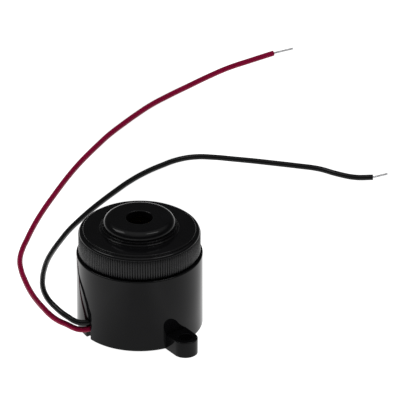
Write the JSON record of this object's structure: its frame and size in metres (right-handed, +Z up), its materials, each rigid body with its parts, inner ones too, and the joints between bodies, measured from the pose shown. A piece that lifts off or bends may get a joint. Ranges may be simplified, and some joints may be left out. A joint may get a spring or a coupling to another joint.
{
  "type": "piezo buzzer",
  "caption": "Round black buzzer with a knurled cap, a raised boss with a sound hole, opposite screw lugs at the base, and a red and a black lead from a side slot.",
  "frame": {"origin": "centre of the housing's underside, on the surface that it stands on", "axes": "+Z up along the housing's axis, through the sound hole; the screw lugs lie along +X and -X; the lead slot faces -Y"},
  "size_m": [0.1121, 0.1311, 0.028],
  "materials": {
    "housing_plastic": "glossy moulded black",
    "cap_plastic": "satin to glossy moulded black",
    "silicone": "cured, matt",
    "brass": "rolled, bright",
    "ceramic": "fired, matt",
    "silver": "fired silver, satin",
    "solder": "bright solder",
    "retainer_plastic": "matt black",
    "wire_black": "insulation, satin",
    "wire_red": "insulation, satin",
    "wire_blue": "insulation, satin",
    "board": "phenolic board, satin",
    "ferrite": "ferrite, matt",
    "enamelled_copper": "enamelled copper, glossy",
    "tinned_wire": "tinned",
    "component_black": "moulded epoxy, matt",
    "resistor_body": "painted, satin",
    "resin": "cast epoxy, satin",
    "red_pvc": "soft insulation, satin",
    "black_pvc": "soft insulation, satin",
    "tinned_strands": "tinned strands"
  },
  "bodies": {
    "root": {"housing": "housing_plastic", "cap": "cap_plastic", "disc_glue": "silicone", "brass_plate": "brass", "piezo_ceramic": "ceramic", "main_electrode": "silver", "feedback_electrode": "silver", "disc_joints": "solder", "disc_retainer": "retainer_plastic", "ground_wire": "wire_black", "drive_wire": "wire_red", "feedback_wire": "wire_blue", "circuit_board": "board", "board_joints": "solder", "coil_core": "ferrite", "coil_winding": "enamelled_copper", "coil_pins": "tinned_wire", "transistor": "component_black", "transistor_legs": "tinned_wire", "base_resistor": "resistor_body", "base_resistor_wires": "tinned_wire", "feedback_resistor": "resistor_body", "feedback_resistor_wires": "tinned_wire", "protection_diode": "component_black", "protection_diode_wires": "tinned_wire", "sealing_resin": "resin", "red_lead": "red_pvc", "red_lead_tip": "tinned_strands", "black_lead": "black_pvc", "black_lead_tip": "tinned_strands"}
  },
  "joints": []
}
